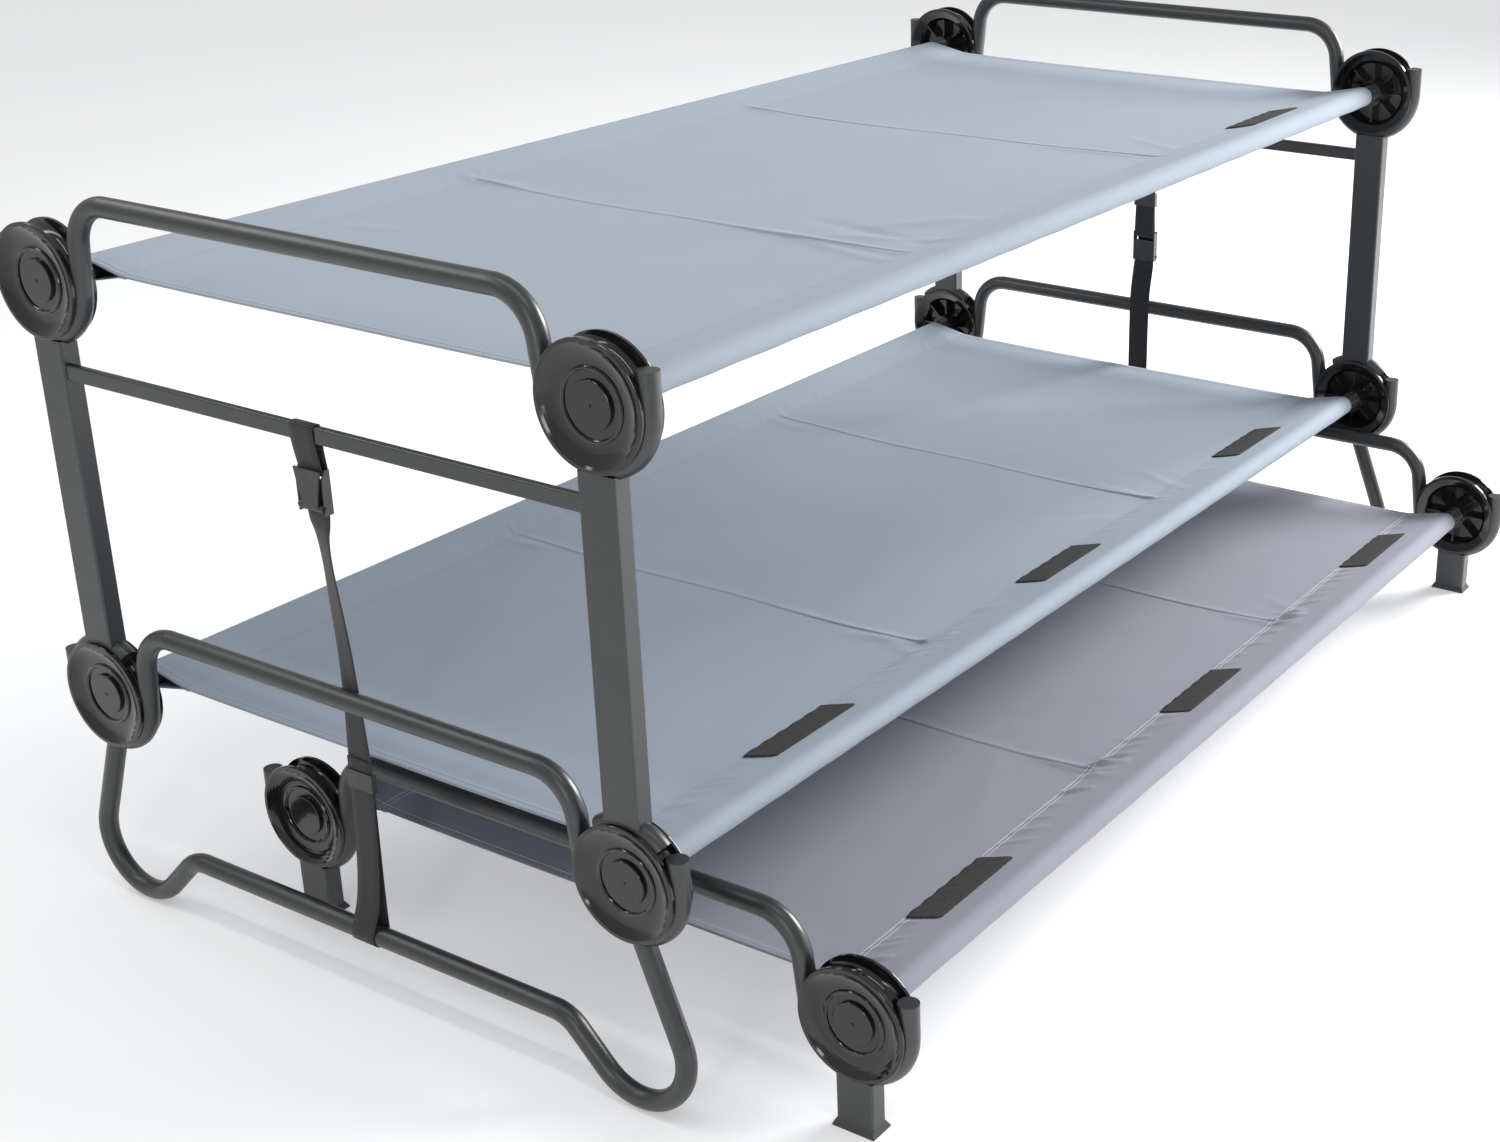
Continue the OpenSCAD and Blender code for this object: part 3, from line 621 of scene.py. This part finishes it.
    def patches(self, material):
        """Strips of hook-and-loop tape from beside the front rail to the seam, which they cover."""
        points, faces, uvs = [], [], []
        columns, rows = np.linspace(-1, 1, PATCH_COLUMNS), np.linspace(0, 1, PATCH_ROWS)
        along, across = np.meshgrid(columns, rows)
        corner = np.clip(1 - np.minimum(across, 1 - across) * 8, 0, 1)
        reach = PATCH_L / 2 - PATCH_CORNER * corner ** 2
        border = np.maximum(np.abs(along), np.abs(2 * across - 1)) > PATCH_BORDER
        lift = CLOTH_T / 2 + np.where(border, PATCH_BORDER_LIFT, PATCH_LIFT)
        for n, middle in enumerate(PATCH_AT[self.cot]):
            frayed = PATCH_FRAY * np.sin(31 * across + 3 * n) * (np.abs(along) == 1)
            x = middle + along * reach + frayed + PATCH_SLANT * (0.5 - across)
            rim = PATCH_RIM * np.sin(46 * along + n) * (across == 0)
            rim = rim + PATCH_RAGGED * np.sin(171 * along + n) * (across == 1)
            inset = PATCH_INS[0] + (PATCH_INS[1] - PATCH_INS[0]) * across + rim
            faces.append(grid_faces(PATCH_ROWS, PATCH_COLUMNS, start=n * across.size))
            points.append(self.top(x, inset, lift).reshape(-1, 3))
            uvs.append(np.stack([x, inset], -1).reshape(-1, 2))
        faces = np.concatenate(faces)[:, ::-1]
        piece = new_piece(f"{self.cot}_deck_patches", np.concatenate(points), faces, material,
                          np.concatenate(uvs))
        thicken(piece, PATCH_T * 0.8)
        return piece

    def stitching(self, material):
        """Two rows of stitches along each seam and one along each end hem."""
        half = self.length / 2
        starts, ends = [], []
        along = np.arange(-half + SEAM_END, half - SEAM_END - STITCH_L, STITCH_PITCH)
        for seam in SEAM_INS:
            for inset in (seam, self.width - seam):
                free = np.ones_like(along, bool)
                if inset < self.width / 2:
                    for middle in PATCH_AT[self.cot]:
                        free &= np.abs(along + STITCH_L / 2 - middle) > PATCH_L / 2
                x = along[free]
                starts.append(self.top(x, np.full_like(x, inset), CLOTH_T / 2))
                ends.append(self.top(x + STITCH_L, np.full_like(x, inset), CLOTH_T / 2))
        across = np.arange(HEM_END, self.width - HEM_END, STITCH_PITCH)
        for end in (-1, 1):
            x = np.full_like(across, end * (half - END_HEM + HEM_STITCH_IN))
            starts.append(self.top(x, across, CLOTH_T / 2))
            ends.append(self.top(x, across + STITCH_L, CLOTH_T / 2))
        return stitch_piece(f"{self.cot}_deck_stitching", np.concatenate(starts), np.concatenate(ends),
                            material)


def stitch_piece(name, starts, ends, material):
    """One mesh of short thread stitches, each a low bump between two points."""
    direction = (ends - starts) / np.linalg.norm(ends - starts, axis=1)[:, None]
    up = np.array([0.0, 0.0, 1.0])
    out = np.cross(direction, up)
    out /= np.linalg.norm(out, axis=1)[:, None]
    lift = np.cross(out, direction)
    rings = []
    for share, size in STITCH_SHAPE:
        centre = starts + (ends - starts) * share
        for i in range(STITCH_SIDES):
            a = 2 * math.pi * i / STITCH_SIDES
            rings.append(centre + THREAD_R * size * (math.cos(a) * out + math.sin(a) * lift))
    points = np.stack(rings, 1)
    offsets = np.arange(len(starts))[:, None, None] * len(rings)
    walls = grid_faces(len(STITCH_SHAPE), STITCH_SIDES, wrap=True)
    first = list(range(STITCH_SIDES))
    caps = np.array([first[::-1], [i + len(rings) - STITCH_SIDES for i in first]])
    faces = [tuple(f) for f in (walls[None] + offsets).reshape(-1, 4)]
    faces += [tuple(f) for f in (caps[None] + offsets).reshape(-1, STITCH_SIDES)]
    return new_piece(name, points.reshape(-1, 3), faces, material)


# Straps
def smooth_path(points, rounds=3):
    """A route through given points, with its corners cut and its points spread evenly."""
    p = np.array(points, float)
    for _ in range(rounds):
        q = 0.75 * p[:-1] + 0.25 * p[1:]
        s = 0.25 * p[:-1] + 0.75 * p[1:]
        p = np.concatenate([p[:1], np.stack([q, s], 1).reshape(-1, p.shape[1]), p[-1:]])
    lengths = np.concatenate([[0], np.cumsum(np.linalg.norm(np.diff(p[:, :2], axis=0), axis=1))])
    even = np.linspace(0, lengths[-1], max(3, round(lengths[-1] / WEB_STEP)))
    return np.stack([np.interp(even, lengths, p[:, k]) for k in range(p.shape[1])], -1)


def ribbon(path, place, sign, start):
    """Points, faces and surface coordinates of webbing along a route of depth, height and twist."""
    depth, height, twist = path.T
    tangent = np.stack([np.gradient(depth), np.zeros_like(depth), np.gradient(height)], -1)
    tangent /= np.linalg.norm(tangent, axis=1)[:, None]
    across = np.array([0.0, 1.0, 0.0])
    side = np.cross(tangent, across)
    a = np.radians(twist)[:, None]
    wide = np.cos(a) * across + np.sin(a) * side
    thick = np.cross(tangent, wide)
    half_w, half_t = WEB_W / 2, WEB_T / 2
    centre = np.stack([depth, np.zeros_like(depth), height], -1)
    rows = np.stack([centre + w * half_w * wide + t * half_t * thick for w, t in WEB_EDGE], 1)
    points = rows.reshape(-1, 3) * (sign, 1, 1) + place
    length = np.concatenate([[0], np.cumsum(np.linalg.norm(np.diff(centre, axis=0), axis=1))])
    widths = np.array([w * half_w for w, _ in WEB_EDGE])
    uvs = np.stack(np.broadcast_arrays(widths[None, :], length[:, None]), -1).reshape(-1, 2)
    n, m = rows.shape[:2]
    faces = [tuple(f) for f in grid_faces(n, m, start, wrap=True)]
    faces += [tuple(range(start, start + m)), tuple(range(start + (n - 1) * m, start + n * m))[::-1]]
    if sign > 0:
        faces = [f[::-1] for f in faces]
    return points, faces, uvs


def round_bar(height, r, arc, steps=13):
    """Stations of a route round a bar, seen from the side with depth inwards."""
    angles = np.radians(np.linspace(*arc, steps))
    return [(r * math.cos(a), height + r * math.sin(a), 0) for a in angles]


def reach(node):
    """The middle of a node's box, and half its size."""
    low, high = (np.array(corner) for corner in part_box(node))
    return (low + high) / 2, (high - low) / 2


def belt(bar_in, bar_z, bar_half, top_bar_z, pinch_z):
    """The route of a strap's upper loop, round the crossbar and the buckle's top bar.

    A slide pinches its two layers together at pinch_z, if that is given."""
    gap = SLEEVE_GAP + WEB_T / 2
    back, front = bar_in + bar_half[0] + gap, bar_in - bar_half[0] - gap
    top, low = bar_z + bar_half[2] + gap, bar_z - bar_half[2] + BELT_TURN
    pinch = [] if pinch_z is None else [pinch_z + BELT_REACH, pinch_z, pinch_z - BELT_REACH]
    start = (back, low - BELT_REACH)
    route = [start, (back, low), (back, top - BELT_TURN), (back - BELT_TURN, top)]
    route += [(front + BELT_TURN, top), (front, top - BELT_TURN), (front, low)]
    route += [(-LAYER, z) for z in pinch]
    route += [(depth, z) for depth, z, _ in round_bar(top_bar_z, TOP_BAR_R + gap, TOP_BAR_ARC)]
    route += [(LAYER, z) for z in reversed(pinch)]
    return [(depth, z, 0) for depth, z in route + [start]]


def strap(end, material):
    """One strap: the loop that carries the buckle, and the tail to the foot bar and back."""
    bar, bar_half = reach(f"{end}_crossbar")
    arch, arch_half = reach(f"lower_{end}_end_rail")
    web, web_half = reach(f"{end}_strap_webbing")
    slide, _ = reach(f"{end}_strap_slide")
    sign = 1 if end == "near" else -1
    top_bar_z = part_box(f"{end}_strap_buckle")[1].z - CAM_R
    pin_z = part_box(f"{end}_strap_lever")[0].z + CAM_R
    inner = TUBE_R + SLEEVE_GAP + WEB_T
    foot_z = web[2] - web_half[2] + inner
    arch_top = arch[2] + arch_half[2]
    low_slide = slide[2] if end == "near" else FAR_TAIL_Z
    place = np.array([arch[0], bar[1], 0.0])
    loop = belt((bar[0] - arch[0]) * sign, bar[2], bar_half, top_bar_z,
                slide[2] if end == "far" else None)
    drop = pin_z - arch_top
    tail = [(0, top_bar_z - BELT_REACH, 0), (0, pin_z + ABOVE_PIN, 0)]
    tail += [
        (inner * max(0, share - BOW_FROM) / BOW_OVER, pin_z - share * drop, WEB_TWIST[end] * turn)
        for share, turn in TWIST_SHARES
    ]
    tail += [
        (inner, arch_top - BELOW_ARCH, WEB_TWIST[end] * 0.5),
        (inner, low_slide + ABOVE_SLIDE, WEB_TWIST[end] * 0.2),
        (inner, low_slide + OVER_SLIDE, 0), (inner, low_slide, 0), (inner, low_slide - BELOW_SLIDE, 0),
        (inner - FOOT_LEAN, foot_z + ABOVE_FOOT, 0),
    ]
    tail += round_bar(foot_z, inner - WEB_T / 2, FOOT_ARC)
    tail += [
        (inner - BACK_LEAN, foot_z + ABOVE_FOOT, 0), (inner - TAIL_IN, low_slide - BELOW_SLIDE, 0),
        (inner - TAIL_IN, low_slide, 0), (inner - TAIL_IN, low_slide + TAIL_END, 0),
    ]
    points, faces, uvs, start = [], [], [], 0
    for route in (loop, tail):
        made = ribbon(smooth_path(route), place, sign, start)
        points.append(made[0])
        faces += made[1]
        uvs.append(made[2])
        start += len(made[0])
    return new_piece(f"{end}_strap_cloth", np.concatenate(points), faces, material, np.concatenate(uvs))


# Light and floor
def area_light(name, place, target, size, power):
    data = bpy.data.lights.new(name, "AREA")
    data.shape = "RECTANGLE"
    data.size, data.size_y = size
    data.energy = power
    light = bpy.data.objects.new(name, data)
    light.location = place
    aim = (np.array(target) - np.array(place)).tolist()
    light.rotation_mode = "QUATERNION"
    light.rotation_quaternion = Vector(aim).to_track_quat("-Z", "Y")
    light.visible_camera = False
    bpy.context.scene.collection.objects.link(light)


def make_stage():
    corners = [(x * FLOOR_HALF, y * FLOOR_HALF, 0) for x, y in ((-1, -1), (1, -1), (1, 1), (-1, 1))]
    floor = new_piece("floor", corners, [(0, 1, 2, 3)], floor_paint(), smooth=False)
    world = bpy.data.worlds.new("studio")
    world.use_nodes = True
    sky = world.node_tree.nodes["Background"]
    sky.inputs["Color"].default_value = SKY_COLOUR
    sky.inputs["Strength"].default_value = SKY_STRENGTH
    bpy.context.scene.world = world
    for lamp in LAMPS:
        area_light(*lamp)
    bpy.context.scene.view_settings.view_transform = "Standard"


make_camera()
cloths = {
    "upper": woven_cloth("blue_cloth", BLUE_DARK, BLUE_LIGHT),
    "trundle": woven_cloth("grey_cloth", GREY_DARK, GREY_LIGHT),
}
cloths["lower"] = cloths["upper"]
white_thread = thread("white_thread", WHITE_THREAD)
blue_thread = thread("blue_thread", BLUE_THREAD)
fuzz = patch_fuzz()
webbing = strap_webbing()
dress_frame({
    "steel_tube": powder_coat(),
    "disc_plastic": disc_nylon(),
    "bright_steel": bright_steel(),
    "deck_fabric": cloths["upper"],
    "trundle_fabric": cloths["trundle"],
    "foot_plastic": foot_plastic(),
    "webbing": webbing,
    "buckle_metal": buckle_metal(),
})

for cot in ("upper", "lower", "trundle"):
    deck = Deck(cot)
    body = "trundle_frame" if cot == "trundle" else "bunk_frame"
    fabric_slot = "trundle_fabric" if cot == "trundle" else "deck_fabric"
    cloth = deck.cloth(cloths[cot])
    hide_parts(f"{cot}_deck")
    stitches = deck.stitching(white_thread if cot == "trundle" else blue_thread)
    patches = deck.patches(fuzz)
    for piece, slot in ((cloth, fabric_slot), (stitches, fabric_slot), (patches, "webbing")):
        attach(piece, body)

for end in ENDS:
    piece = strap(end, webbing)
    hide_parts(f"{end}_strap_webbing")
    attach(piece, "bunk_frame")

make_stage()
